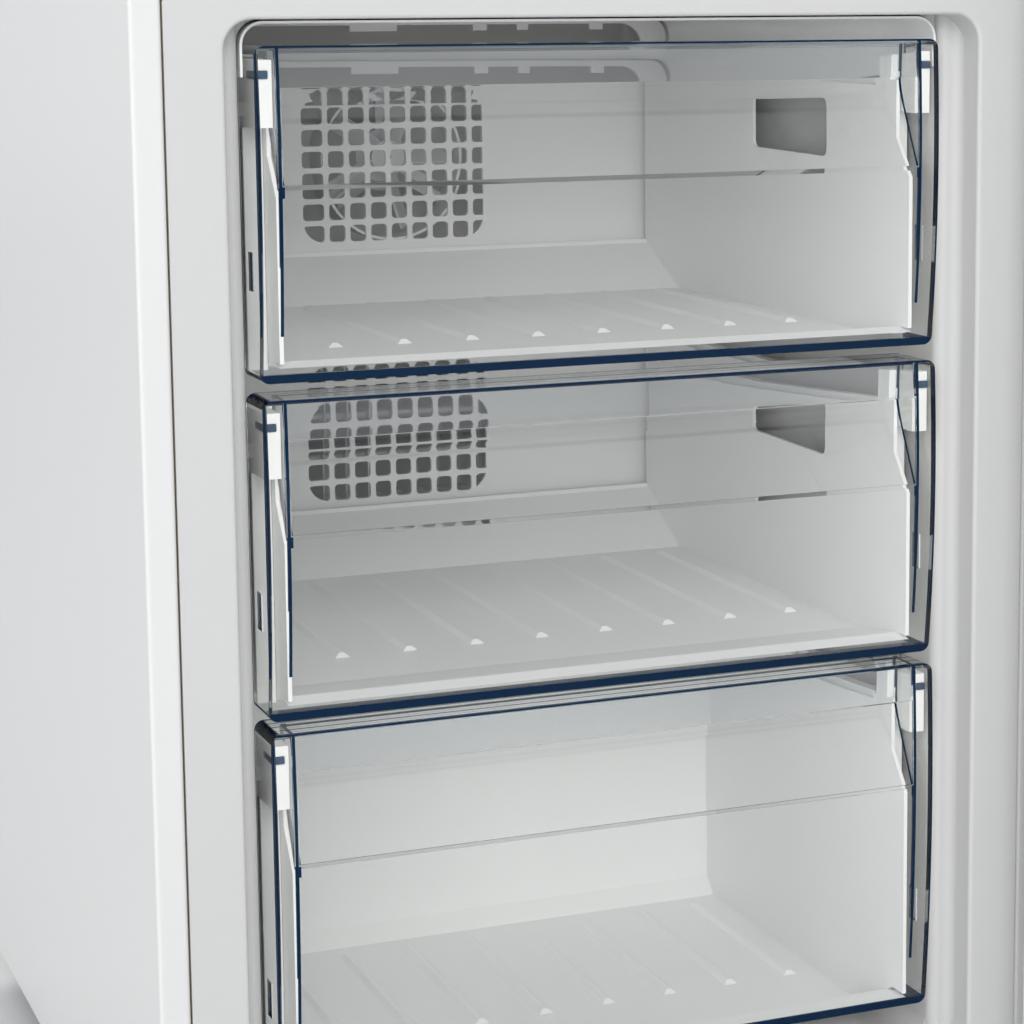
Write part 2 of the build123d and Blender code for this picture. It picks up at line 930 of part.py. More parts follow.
with BuildPart() as evaporator:
    for column in (-1, 1):
        y = coil_y + column * fin_depth / 4
        points = [(-coil_half - 24, y, coil_low + coil_pitch / 2)]
        for row in range(coil_rows):
            z = coil_low + (row + 0.5) * coil_pitch
            ends = [-coil_half - 16, coil_half + 16]
            if row % 2:
                ends.reverse()
            if row:
                points.append((ends[0], y, z))
            points.append((ends[1], y, z))
        pipe(points, coil_pitch / 2 - 2, coil_radius)
    rod(
        (-coil_half - 24, coil_y - fin_depth / 4 - coil_radius, coil_low + coil_pitch / 2),
        (-coil_half - 24, coil_y + fin_depth / 4 + coil_radius, coil_low + coil_pitch / 2),
        coil_radius,
    )
    with Locations((0, coil_y, coil_low + coil_rows * coil_pitch / 2)):
        with GridLocations(2 * coil_half / (fin_count - 1), 1, fin_count, 1):
            Box(fin_wall, fin_depth, coil_rows * coil_pitch)
    both_sides(
        coil_half - fin_wall,
        coil_half + fin_wall,
        (coil_y - fin_depth / 2, chamber_back),
        (heater_height - 8, coil_low + coil_rows * coil_pitch),
    )
save(evaporator.part, "evaporator")

with BuildPart() as heater:
    rod(
        (-coil_half + fin_wall, coil_y, heater_height),
        (coil_half - fin_wall, coil_y, heater_height),
        heater_radius,
    )
save(heater.part, "defrost_heater")


# Inside of the fridge

fridge_back = front + fridge_depth

with BuildPart() as duct:
    block((-duct_half, duct_half), (fridge_back - duct_depth, fridge_back), (duct_low, duct_high))
    fillet(duct.faces().sort_by(Axis.Y)[0].edges(), 4)
    with Locations((0, fridge_back - duct_depth, (duct_low + duct_high) / 2)):
        with GridLocations(duct_half, 1, 2, 1):
            for step in range(-vent_rows, vent_rows + 1):
                with Locations((0, 0, step * vent_pitch)):
                    Box(duct_half * 0.7, 4, 5, mode=Mode.SUBTRACT)
save(duct.part, "air_duct_cover")

control_front = front + control_start
control_high = fridge_ceiling

with BuildPart() as control:
    block(
        (-control_half, control_half),
        (control_front, control_front + control_depth),
        (control_high - control_height, control_high),
    )
    fillet(control.edges().filter_by(Axis.X).group_by(Axis.Z)[0], 6)
    rod(
        (knob_x, control_front + 1, control_high - control_height / 2),
        (knob_x, control_front - knob_depth + 3, control_high - control_height / 2),
        knob_shaft,
    )
save(control.part, "control_housing")

with BuildPart() as knob:
    knob_z = control_high - control_height / 2
    rod((knob_x, control_front - 0.4, knob_z), (knob_x, control_front - knob_depth, knob_z), knob_radius)
    fillet(knob.edges().filter_by(GeomType.CIRCLE).sort_by(Axis.Y)[0], 1.5)
    rod(
        (knob_x, control_front, knob_z),
        (knob_x, control_front - knob_depth + 3 - running, knob_z),
        knob_shaft + running,
        Mode.SUBTRACT,
    )
    block(
        (knob_x - 1, knob_x + 1),
        (control_front - knob_depth, control_front - knob_depth + 1),
        (knob_z + 4, knob_z + knob_radius),
        Mode.SUBTRACT,
    )
save(knob.part, "thermostat_knob")

with BuildPart() as lamp_cover:
    lamp_low = control_high - control_height - lamp_height
    block(
        (-lamp_x - lamp_half, -lamp_x + lamp_half),
        (control_front + 12, control_front + control_depth - 12),
        (lamp_low, lamp_low + lamp_height),
    )
    fillet(lamp_cover.faces().sort_by(Axis.Z)[0].edges(), 5)
    block(
        (-lamp_x - lamp_half + 2, -lamp_x + lamp_half - 2),
        (control_front + 14, control_front + control_depth - 14),
        (lamp_low + 2, lamp_low + lamp_height),
        Mode.SUBTRACT,
    )
save(lamp_cover.part, "lamp_cover")

shelf_names = ("lower_shelf", "middle_shelf", "upper_shelf", "crisper_shelf")
shelf_levels = shelf_heights + (crisper_shelf_height,)
shelf_half = cavity_half - shelf_play
shelf_y = front + shelf_front

for name, level in zip(shelf_names, shelf_levels):
    with BuildPart() as shelf:
        block((-shelf_half, shelf_half), (shelf_y, shelf_y + shelf_depth), (level, level + glass))
        fillet(shelf.edges().filter_by(Axis.Z), 3)
    save(shelf.part, name)

with BuildPart() as trims:
    for level in shelf_levels:
        block(
            (-shelf_half, shelf_half),
            (shelf_y - trim_lip, shelf_y - trim_lip + trim_depth),
            (level + glass / 2 - trim_height / 2, level + glass / 2 + trim_height / 2),
        )
    fillet(trims.edges().filter_by(Axis.X).group_by(Axis.Y)[0], 3)
    for level in shelf_levels:
        block(
            (-shelf_half, shelf_half),
            (shelf_y, shelf_y + trim_depth),
            (level, level + glass),
            Mode.SUBTRACT,
        )
save(trims.part, "shelf_trims")

crisper_low = fridge_floor + slide_gap
crisper_high = crisper_low + crisper_height

with BuildPart() as crisper:
    block(
        (-crisper_half, crisper_half),
        (shelf_y, shelf_y + crisper_length),
        (crisper_low, crisper_high),
    )
    fillet(crisper.edges().filter_by(Axis.Z), 12)
    fillet(crisper.faces().sort_by(Axis.Z)[0].edges(), 6)
    offset(amount=-crisper_wall, openings=crisper.faces().sort_by(Axis.Z)[-1])
    block(
        (-crisper_half * 0.6, crisper_half * 0.6),
        (shelf_y - crisper_lip, shelf_y + crisper_wall / 2),
        (crisper_high - 3, crisper_high),
    )
    block(
        (-crisper_half * 0.6, crisper_half * 0.6),
        (shelf_y - crisper_lip, shelf_y - crisper_lip + 3),
        (crisper_high - 16, crisper_high),
    )
save(crisper.part, "crisper_drawer")


# Cooling machine in the niche and on the back

shell_low = base_top + mount_height + foot_sheet
shell_z = shell_low + shell_height

with BuildPart() as compressor:
    with BuildSketch(Plane.XY.offset(shell_low)):
        with Locations((compressor_x, compressor_y)):
            Circle(shell_radius)
    extrude(amount=shell_height)
    fillet(compressor.edges().filter_by(GeomType.CIRCLE).group_by(Axis.Z)[-1], shell_round)
    fillet(compressor.edges().filter_by(GeomType.CIRCLE).group_by(Axis.Z)[0], 16)
    with BuildSketch(Plane.XY.offset(shell_low + shell_height / 2 - 4)):
        with Locations((compressor_x, compressor_y)):
            Circle(shell_radius + 3)
    extrude(amount=8)
    block(
        (compressor_x - shell_radius - 18, compressor_x - shell_radius + 12),
        (compressor_y - 24, compressor_y + 24),
        (shell_low + shell_height / 2 + 4, shell_low + shell_height / 2 + 44),
    )
    with BuildSketch(Plane.XY.offset(shell_low - foot_sheet)):
        with Locations((compressor_x, compressor_y)):
            RectangleRounded(2 * mount_x + 34, 2 * mount_y + 34, 12)
            with GridLocations(2 * mount_x, 2 * mount_y, 2, 2):
                Circle(mount_bolt + 0.5, mode=Mode.SUBTRACT)
    extrude(amount=foot_sheet)
save(compressor.part, "compressor")

with BuildPart() as mounts:
    with BuildSketch(Plane.XY.offset(base_top)):
        with Locations((compressor_x, compressor_y)):
            with GridLocations(2 * mount_x, 2 * mount_y, 2, 2):
                Circle(mount_rubber)
                Circle(mount_bolt, mode=Mode.SUBTRACT)
    extrude(amount=mount_height)
    fillet(mounts.edges().filter_by(GeomType.CIRCLE).sort_by(SortBy.RADIUS)[-8:], 1.5)
save(mounts.part, "compressor_mounts")

with BuildPart() as tray:
    tray_z = shell_z + tray_height
    block(
        (compressor_x - tray_half_x, compressor_x + tray_half_x),
        (compressor_y - tray_half_y, compressor_y + tray_half_y),
        (shell_z, tray_z),
    )
    fillet(tray.edges().filter_by(Axis.Z), 8)
    offset(amount=-tray_wall, openings=tray.faces().sort_by(Axis.Z)[-1])
save(tray.part, "drip_tray")

coil_out = back + condenser_gap

with BuildPart() as condenser:
    points = [(-condenser_half, coil_out, condenser_low - condenser_leg)]
    for run in range(condenser_runs):
        z = condenser_low + run * condenser_pitch
        ends = [-condenser_half, condenser_half]
        if run % 2:
            ends.reverse()
        points.append((ends[0], coil_out, z))
        points.append((ends[1], coil_out, z))
    points[-1] = (condenser_half + condenser_side, coil_out, points[-1][2])
    points.append((condenser_half + condenser_side, coil_out, condenser_low - condenser_leg))
    pipe(points, condenser_bend, condenser_tube)
    wire_low = condenser_low - 12
    wire_high = condenser_low + (condenser_runs - 1) * condenser_pitch + 12
    for wire in range(-condenser_wires, condenser_wires + 1):
        x = wire * condenser_wire_pitch
        y = coil_out + condenser_tube + condenser_wire / 2 - 0.3
        block(
            (x - condenser_wire / 2, x + condenser_wire / 2),
            (y - condenser_wire / 2, y + condenser_wire / 2),
            (wire_low, wire_high),
        )
    for z in (condenser_low + condenser_pitch, wire_high - 12 - condenser_pitch):
        both_sides(
            condenser_half - 52,
            condenser_half - 40,
            (back, coil_out),
            (z - 5, z + 5),
        )
save(condenser.part, "condenser")

with BuildPart() as pipes:
    leg = condenser_low - condenser_leg
    pipe(
        [
            (condenser_half + condenser_side, coil_out, leg),
            (condenser_half + condenser_side, coil_out, leg - 60),
            (condenser_half + condenser_side, compressor_y, leg - 60),
            (condenser_half + condenser_side, compressor_y, shell_low + shell_height / 3),
            (compressor_x + shell_radius, compressor_y, shell_low + shell_height / 3),
        ],
        12,
        condenser_tube,
    )
    pipe(
        [
            (-condenser_half, coil_out, leg),
            (-condenser_half, coil_out, leg - 60),
            (drier_x, coil_out - 40, leg - 60),
            (drier_x, coil_out - 40, leg - 130),
        ],
        12,
        condenser_tube,
    )
    rod(
        (drier_x, coil_out - 40, leg - 90),
        (drier_x, coil_out - 40, leg - 90 - drier_length),
        drier_radius,
    )
    pipe(
        [
            (drier_x, coil_out - 40, leg - 90 - drier_length),
            (drier_x, coil_out - 40, leg - 110 - drier_length),
            (drier_x, niche_front + 20, leg - 110 - drier_length),
            (drier_x, niche_front + 20, niche_height),
        ],
        8,
        1.2,
    )
    pipe(
        [
            (compressor_x - shell_radius - 3, compressor_y, shell_low + shell_height / 2),
            (compressor_x - shell_radius - 40, compressor_y, shell_low + shell_height / 2),
            (compressor_x - shell_radius - 40, compressor_y, niche_height),
        ],
        14,
        suction_radius,
    )
save(pipes.part, "refrigerant_pipes")


# Hinges

leaf_left = axis_x - leaf_reach
leaf_screws = (leaf_left + 12, half - 14)
arm_low = door_split + door_gap / 2 - hinge_plate / 2
arm_high = arm_low + hinge_plate
tongue_high = freezer_door_low - door_gap / 2
tongue_low = tongue_high - hinge_plate
flange_front = front - hinge_sheet
arm_out = axis_y - 11


def hinge_arm(low, high):
    """The flat tongue that carries a pin in front of the cabinet."""
    with BuildSketch(Plane.XY.offset(low)) as tongue:
        Polygon(
            (axis_x - 30, flange_front + 1),
            (half - 2, flange_front + 1),
            (half - 2, arm_out),
            (axis_x - 12, arm_out),
            (axis_x - 24, axis_y + 4),
            align=None,
        )
    extrude(tongue.sketch, amount=high - low)


def hinge_leaf(low, high):
    """The upright leaf that is screwed to the cabinet, with its two screw holes."""
    block((leaf_left, half - 2), (flange_front, front), (low, high))
    for x in leaf_screws:
        z = high - screw_edge
        rod((x, flange_front, z), (x, front, z), screw_radius, Mode.SUBTRACT)


with BuildPart() as top_hinge:
    with BuildSketch(Plane.XY.offset(height)):
        Polygon(
            (top_plate_left, front + top_plate_depth),
            (half - 4, front + top_plate_depth),
            (half - 4, arm_out),
            (axis_x - 12, arm_out),
            (top_plate_left, front + 8),
            align=None,
        )
    extrude(amount=hinge_plate)
    rod((axis_x, axis_y, height), (axis_x, axis_y, fridge_door_high - pin_length), pin_radius)
    for x, y in top_screws:
        rod((x, y, height), (x, y, height + hinge_plate), screw_radius, Mode.SUBTRACT)
save(top_hinge.part, "top_hinge")

with BuildPart() as middle_hinge:
    hinge_arm(arm_low, arm_high)
    hinge_leaf(middle_leaf_low, middle_leaf_high)
    rod(
        (axis_x, axis_y, door_split - pin_length),
        (axis_x, axis_y, door_split + door_gap + pin_length),
        pin_radius,
    )
save(middle_hinge.part, "middle_hinge")

with BuildPart() as bottom_hinge:
    hinge_arm(tongue_low, tongue_high)
    hinge_leaf(panel_low - 6, bottom_leaf_high)
    rod((axis_x, axis_y, tongue_low), (axis_x, axis_y, freezer_door_low + pin_length), pin_radius)
save(bottom_hinge.part, "bottom_hinge")

with BuildPart() as hinge_cover:
    cover_y = (arm_out - 3, front + top_plate_depth + 4)
    block((top_plate_left - 4, half - 1), cover_y, (height, height + cap_rise))
    fillet(hinge_cover.faces().sort_by(Axis.Z)[-1].edges(), 4)
    block(
        (top_plate_left - 2, half - 3),
        (arm_out - 1, cover_y[1] - 2),
        (height, height + cap_rise - 2),
        Mode.SUBTRACT,
    )
save(hinge_cover.part, "hinge_cover")

with BuildPart() as screws:
    for high in (middle_leaf_high, bottom_leaf_high):
        for x in leaf_screws:
            z = high - screw_edge
            rod((x, flange_front, z), (x, flange_front - screw_head, z), screw_radius + 2.5)
            rod((x, flange_front, z), (x, front, z), screw_radius)
    for x, y in top_screws:
        z = height + hinge_plate
        rod((x, y, z), (x, y, z + screw_head), screw_radius + 2.5)
        rod((x, y, z), (x, y, height), screw_radius)
save(screws.part, "hinge_screws")


# Doors, built closed and then turned about the hinge line

hinge_line = Axis((axis_x, axis_y, 0), (0, 0, 1))


def save_open(part, name):
    save(part.rotate(hinge_line, open_angle), name)


def door_section(shift):
    """The outline of a door seen from above, moved inward by shift."""
    with Locations((0, (door_inner + door_outer) / 2)):
        RectangleRounded(width - 2 * shift, door_depth - 2 * shift, door_corner - shift)


def ring(outer, low, high, wall, y, mode=Mode.ADD):
    """An upright rectangular frame between two depths."""
    with BuildSketch(facing(y[0])) as frame:
        with Locations((0, (low + high) / 2)):
            RectangleRounded(2 * outer, high - low, 8)
            RectangleRounded(2 * outer - 2 * wall, high - low - 2 * wall, 4, mode=Mode.SUBTRACT)
    extrude(frame.sketch, amount=y[0] - y[1], mode=mode)


def door(name, low, high, gasket_low, gasket_high, ridge_low, ridge_high, ridge, handle_low):
    """The pieces that both doors have."""
    skin_low = low + cap_height
    skin_high = high - cap_height
    plate_front = door_inner - door_plate
    grip_low = handle_low
    grip_x = -half + handle_inset
    with BuildPart() as skin:
        with BuildSketch(Plane.XY.offset(skin_low)):
            door_section(0)
            door_section(door_skin)
        extrude(amount=skin_high - skin_low)
        with BuildSketch(Plane.XY.offset(skin_low)) as core:
            door_section(door_skin)
        extrude(core.sketch, amount=skin_high - skin_low, mode=Mode.SUBTRACT)
        block(
            (-half, half),
            (plate_front, door_inner),
            (skin_low, skin_high),
            Mode.SUBTRACT,
        )
    save_open(skin.part, name + "_door_skin")

    with BuildPart() as lining:
        block((-half, half), (plate_front, door_inner), (skin_low, skin_high))
        fillet(lining.edges().filter_by(Axis.Z).group_by(Axis.Y)[-1], 1)
        ring(dyke_half, ridge_low, ridge_high, dyke_width, (door_inner, door_inner + ridge))
        ring(
            dyke_half - door_plate,
            ridge_low + door_plate,
            ridge_high - door_plate,
            dyke_width - 2 * door_plate,
            (plate_front, door_inner + ridge - door_plate),
            Mode.SUBTRACT,
        )
    save_open(lining.part, name + "_door_liner")

    with BuildPart() as filling:
        with BuildSketch(Plane.XY.offset(skin_low)):
            door_section(door_skin)
        extrude(amount=skin_high - skin_low)
        block((-half, half), (plate_front, door_inner), (skin_low, skin_high), Mode.SUBTRACT)
        ring(
            dyke_half - door_plate,
            ridge_low + door_plate,
            ridge_high - door_plate,
            dyke_width - 2 * door_plate,
            (plate_front, door_inner + ridge - door_plate),
        )
    save_open(filling.part, name + "_door_foam")

    with BuildPart() as caps:
        for z in (low, skin_high):
            with BuildSketch(Plane.XY.offset(z)):
                door_section(0)
            extrude(amount=cap_height)
        for z in (low, high):
            rod(
                (axis_x, axis_y, z - pin_length - 1),
                (axis_x, axis_y, z + pin_length + 1),
                pin_radius + running,
                Mode.SUBTRACT,
            )
    save_open(caps.part, name + "_door_caps")

    with BuildPart() as gasket:
        ring(
            half - gasket_inset,
            gasket_low,
            gasket_high,
            gasket_width,
            (door_inner, front - slide_gap),
        )
        ring(
            half - gasket_inset - gasket_width / 2 + 1.5,
            gasket_low + gasket_width / 2 - 1.5,
            gasket_high - gasket_width / 2 + 1.5,
            3,
            (front - slide_gap - 2, front),
            Mode.SUBTRACT,
        )
    save_open(gasket.part, name + "_door_gasket")

    with BuildPart() as handle:
        for z in (grip_low + 40, grip_low + handle_length - 40):
            block((grip_x - 8, grip_x + 8), (door_outer - handle_reach + 6, door_outer), (z - 9, z + 9))
        with BuildSketch(Plane.XY.offset(grip_low)):
            with Locations((grip_x, door_outer - handle_reach)):
                RectangleRounded(24, 14, 6)
        extrude(amount=handle_length)
        fillet(handle.edges().group_by(Axis.Z)[0] + handle.edges().group_by(Axis.Z)[-1], 3)
    save_open(handle.part, name + "_door_handle")


door(
    "freezer",
    freezer_door_low,
    door_split,
    freezer_door_low + gasket_drop,
    door_split - gasket_drop,
    freezer_door_low + ridge_inset,
    door_split - ridge_inset,
    freezer_ridge,
    door_split - 20 - handle_length,
)
door(
    "fridge",
    door_split + door_gap,
    fridge_door_high,
    door_split + door_gap + gasket_drop,
    fridge_door_high - gasket_drop,
    door_split + door_gap + ridge_inset,
    fridge_door_high - ridge_inset,
    dyke_depth,
    door_split + door_gap + 20,
)

balcony_half = dyke_half - dyke_width

for name, low, tall in zip(balcony_names, balcony_lows, balcony_heights):
    with BuildPart() as balcony:
        block(
            (-balcony_half, balcony_half),
            (door_inner, door_inner + balcony_depth),
            (low, low + tall),
        )
        fillet(balcony.edges().filter_by(Axis.Z).group_by(Axis.Y)[-1], 14)
        offset(amount=-balcony_wall, openings=balcony.faces().sort_by(Axis.Z)[-1])
    save_open(balcony.part, name)
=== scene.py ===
import math

import bmesh
import bpy
from mathutils import Matrix, Vector


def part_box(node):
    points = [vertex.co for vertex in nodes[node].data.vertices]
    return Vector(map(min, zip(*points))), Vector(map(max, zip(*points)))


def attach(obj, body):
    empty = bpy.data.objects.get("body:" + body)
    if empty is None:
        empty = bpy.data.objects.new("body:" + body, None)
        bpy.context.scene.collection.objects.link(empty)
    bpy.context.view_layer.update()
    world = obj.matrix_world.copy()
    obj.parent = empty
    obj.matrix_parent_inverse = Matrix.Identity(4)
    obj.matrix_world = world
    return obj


bl_info = {
    "name": "Bottom freezer refrigerator",
    "version": (1, 0, 0),
    "blender": (4, 5, 0),
    "location": "3D View > Sidebar > Refrigerator",
    "description": "Finishes, small parts and studio of a bottom freezer refrigerator",
    "category": "Object",
}

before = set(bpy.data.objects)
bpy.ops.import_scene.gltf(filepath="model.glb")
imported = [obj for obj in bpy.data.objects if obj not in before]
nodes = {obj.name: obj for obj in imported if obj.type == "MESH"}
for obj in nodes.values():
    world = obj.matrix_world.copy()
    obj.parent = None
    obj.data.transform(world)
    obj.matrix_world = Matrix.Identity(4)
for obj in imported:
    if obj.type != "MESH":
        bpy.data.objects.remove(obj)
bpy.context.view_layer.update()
MM = 0.001
DRAWERS = ("top_drawer", "middle_drawer", "bottom_drawer")

# Sizes on the clear drawer fronts of the bands where navy shade is painted along the edges, in
# metres, as the frame has them
FOOT_EDGE = 5.0 * MM
FACE_EDGE = 4.5 * MM
RIM_EDGE = 1.2 * MM
CORNER_EDGE = 1.3 * MM
RECESS_INSET = 13.2 * MM
RECESS_EDGE = 1.0 * MM
RECESS_DEPTH = 27 * MM
RECESS_DROP = 31 * MM
RECESS_SLOPE = 0.506
RECESS_BEND = 10 * MM
WALL_INSET = 14 * MM
WALL_EDGE = 1.6 * MM
BEND_EDGE = 1.7 * MM
STEP_PITCH = 9 * MM
STEP_EDGE = 0.8 * MM

# Studio, in metres; each lamp's place, the height it aims at, its width and its power
FLOOR_RADIUS = 9
BACKDROP_STRENGTH = 0.9
LAMPS = (
    ("front", (-1.9, -4.0, 1.2), 0.5, 2.2, "key_power"),
    ("high", (-0.5, -3.8, 2.5), 0.5, 2.0, "high_power"),
    ("side", (-4.6, -0.8, 2.0), 0.8, 3.0, "side_power"),
    ("rear", (3.2, 3.6, 3.4), 0.9, 3.0, "rear_power"),
)

# Camera fitted to the straight lines of the photograph; turns in degrees
CAMERA_PLACE = (-0.6207, -1.7874, 0.7592)
CAMERA_AZIMUTH = -22.769
CAMERA_TILT = 90 - 8.074
CAMERA_ROLL = -0.344
CAMERA_SHIFT = -0.12

# Flanges of the baskets: inset from the front's sides, rear face, foot and rim
FLANGE_INNER = 12.8 * MM
FLANGE_OUTER = 3.1 * MM
FLANGE_FRONT = 5.0 * MM
FLANGE_REAR = 2.8 * MM
FLANGE_LOW = 4.5 * MM
FLANGE_HIGH = 47.5 * MM
FLANGE_ROUND = 0.4 * MM

# Tabs of the fronts: inset from the sides, the face and the rim
TAB_INNER = 8.8 * MM
TAB_OUTER = 2.9 * MM
TAB_START = 7.0 * MM
TAB_LENGTH = 19.0 * MM
TAB_LOW = 18.6 * MM
TAB_HIGH = 14.4 * MM
TAB_ROUND = 0.5 * MM

# Marks round the knob, from one end of its turn to the other
KNOB_GAP = 0.4 * MM
KNOB_TURN = 270
MARK_COUNT = 7
MARK_GAP = 0.6 * MM
MARK_LENGTH = 1.0 * MM
MARK_THIN = 0.3 * MM
MARK_GROWTH = 0.08 * MM
MARK_PROUD = 0.15 * MM
MARK_SUNK = 0.2 * MM


# Colours, nodes and meshes


def srgb(code):
    """A hex colour as Blender's linear values."""
    parts = (int(code[i : i + 2], 16) / 255 for i in (1, 3, 5))
    return tuple(c / 12.92 if c <= 0.04045 else ((c + 0.055) / 1.055) ** 2.4 for c in parts)


def add_node(tree, kind, values=None, links=None, **settings):
    """Adds a node with its settings, the values of its sockets and what they are linked from."""
    made = tree.nodes.new(kind)
    for name, value in settings.items():
        setattr(made, name, value)
    for socket, value in (values or {}).items():
        made.inputs[socket].default_value = value
    for socket, source in (links or {}).items():
        tree.links.new(source, made.inputs[socket])
    return made


def new_finish(name, colour, roughness, **values):
    """An empty material with its shader, colour and roughness set."""
    material = bpy.data.materials.new(name)
    material.use_nodes = True
    tree = material.node_tree
    tree.nodes.clear()
    shader = add_node(
        tree,
        "ShaderNodeBsdfPrincipled",
        {"Base Color": (*colour, 1.0), "Roughness": roughness, **values},
    )
    add_node(tree, "ShaderNodeOutputMaterial", links={"Surface": shader.outputs["BSDF"]})
    return material, tree, shader


def wide_noise(tree, size_mm, detail=2.0, stretch=(1.0, 1.0, 1.0)):
    """Noise with blotches of a real size, on the piece's own coordinates."""
    where = add_node(tree, "ShaderNodeTexCoord")
    scaled = add_node(
        tree, "ShaderNodeMapping", {"Scale": stretch}, {"Vector": where.outputs["Object"]}
    )
    return add_node(
        tree,
        "ShaderNodeTexNoise",
        {"Scale": 1 / (size_mm * MM), "Detail": detail, "Roughness": 0.5},
        {"Vector": scaled.outputs["Vector"]},
    )


def vary(tree, shader, noise, low, high, socket="Roughness"):
    """Lets a noise move a shader value between two limits."""
    spread = add_node(
        tree,
        "ShaderNodeMapRange",
        {"From Min": 0.3, "From Max": 0.7, "To Min": low, "To Max": high},
        {"Value": noise.outputs["Fac"]},
    )
    tree.links.new(spread.outputs["Result"], shader.inputs[socket])


def tint(tree, shader, noise, first, second):
    """Lets a noise move the colour between two near tones."""
    mixed = add_node(
        tree,
        "ShaderNodeMix",
        links={"Factor": noise.outputs["Fac"]},
        data_type="RGBA",
    )
    mixed.inputs["A"].default_value = (*first, 1.0)
    mixed.inputs["B"].default_value = (*second, 1.0)
    tree.links.new(mixed.outputs["Result"], shader.inputs["Base Color"])


def relief(tree, shader, noise, height_mm, strength=1.0):
    """A shallow relief of a real height from a noise."""
    bump = add_node(
        tree,
        "ShaderNodeBump",
        {"Strength": strength, "Distance": height_mm * MM},
        {"Height": noise.outputs["Fac"]},
    )
    tree.links.new(bump.outputs["Normal"], shader.inputs["Normal"])


def maths(tree, operation, first, second, width=None):
    """One sum on numbers or sockets; with a width it tests how near the two are."""
    numbers, sources = {}, {}
    for place, item in enumerate((first, second, width)):
        if isinstance(item, (int, float)):
            numbers[place] = item
        elif item is not None:
            sources[place] = item
    return add_node(tree, "ShaderNodeMath", numbers, sources, operation=operation).outputs["Value"]


def let_light_in(tree, shader, share, soft=True):
    """Lamps, and soft light too, pass straight through this wall, so what is behind it is lit."""
    path = add_node(tree, "ShaderNodeLightPath").outputs
    unbent = path["Is Shadow Ray"]
    if soft:
        unbent = maths(tree, "MAXIMUM", unbent, path["Is Diffuse Ray"])
    passing = add_node(tree, "ShaderNodeBsdfTransparent", {"Color": (*share, 1.0)})
    both = add_node(
        tree,
        "ShaderNodeMixShader",
        links={
            0: unbent,
            1: shader.outputs["BSDF"],
            2: passing.outputs["BSDF"],
        },
    )
    output = next(n for n in tree.nodes if n.type == "OUTPUT_MATERIAL")
    tree.links.new(both.outputs["Shader"], output.inputs["Surface"])


def dress(material, *names):
    """Gives CAD nodes their material, with smooth shading inside each of their faces."""
    for name in names:
        mesh = nodes[name].data
        mesh.materials.clear()
        mesh.materials.append(material)
        mesh.shade_smooth()


def darker(colour, share):
    return tuple(c * share for c in colour)


# Properties


def colour_property(label, text, code):
    return bpy.props.FloatVectorProperty(
        name=label,
        description=text,
        subtype="COLOR",
        size=3,
        min=0,
        max=1,
        default=srgb(code),
    )


def length_property(label, text, millimetres):
    return bpy.props.FloatProperty(
        name=label,
        description=text,
        subtype="DISTANCE",
        unit="LENGTH",
        min=0,
        default=millimetres * MM,
    )


def amount_property(label, text, amount):
    return bpy.props.FloatProperty(name=label, description=text, default=amount, min=0)


class RefrigeratorColours(bpy.types.PropertyGroup):
    coat: colour_property("Powder coat", "White of the steel cabinet and doors", "#DADADA")
    liner: colour_property("Liner", "White of the vacuum formed liners", "#C9C9C9")
    # The baskets' own white, set brighter than the trims: a painted lift that makes up for the dim
    # light inside the drawers
    basket: colour_property("Basket", "White of the moulded baskets", "#F2F3F4")
    trim: colour_property("Trim", "White of the moulded covers and trims", "#DDDEDF")
    clear: colour_property("Clear blue", "Light that passes the drawer fronts", "#95C0E1")
    # Edge blue is the thick tabs' own deep colour, and also the navy shade painted along the clear
    # fronts' edges
    edge: colour_property("Edge blue", "Light that leaves the drawer fronts' edges", "#02223F")
    gasket: colour_property("Gasket", "Soft vinyl of the door seals", "#C9CACA")
    grip: colour_property("Handle", "Lacquer of the door handles", "#A9ACAF")


class RefrigeratorSizes(bpy.types.PropertyGroup):
    tint_depth: length_property("Tint depth", "Clear plastic that takes most of the light", 90.0)


class StudioSettings(bpy.types.PropertyGroup):
    floor: colour_property("Floor", "Pale floor of the studio", "#E4E4E4")
    key_power: amount_property("Front light", "Power of the large front light", 46.0)
    high_power: amount_property("High light", "Power of the light high in front", 64.0)
    side_power: amount_property("Side light", "Power of the light at the left", 74.0)
    rear_power: amount_property("Rear light", "Power of the light behind at the right", 130.0)
    ambient: amount_property("Ambient", "Even light from all round", 0.55)
    lens: amount_property("Lens", "Focal length of the camera in mm", 94.3)


# Finishes of the steel and metal pieces


def powder_coated_steel(colours):
    """Polyester powder coat on sheet steel: even white, half gloss."""
    # The powder melts to a skin with a faint orange peel, about 2 mm across; drawn at 5 mm to show.
    material, tree, shader = new_finish("powder_coated_steel_white", colours.coat, 0.38)
    peel = wide_noise(tree, 5)
    relief(tree, shader, peel, 0.02)
    tone = wide_noise(tree, 160)
    tint(tree, shader, tone, colours.coat, darker(colours.coat, 0.985))
    return material


def galvanised_steel():
    """Hot-dip zinc on the back and base: grey spangle with a dull shine."""
    # Zinc crystals are 10 to 20 mm wide.
    material, tree, shader = new_finish(
        "galvanised_steel_sheet", srgb("#B4B7B9"), 0.42, Metallic=0.9
    )
    where = add_node(tree, "ShaderNodeTexCoord")
    spangle = add_node(
        tree,
        "ShaderNodeTexVoronoi",
        {"Scale": 1 / (14 * MM)},
        {"Vector": where.outputs["Object"]},
    )
    grey = add_node(tree, "ShaderNodeSeparateColor", links={"Color": spangle.outputs["Color"]})
    tone = add_node(
        tree,
        "ShaderNodeMix",
        links={"Factor": grey.outputs["Red"]},
        data_type="RGBA",
    )
    tone.inputs["A"].default_value = (*srgb("#A3A6A9"), 1.0)
    tone.inputs["B"].default_value = (*srgb("#BFC2C4"), 1.0)
    tree.links.new(tone.outputs["Result"], shader.inputs["Base Color"])
    return material


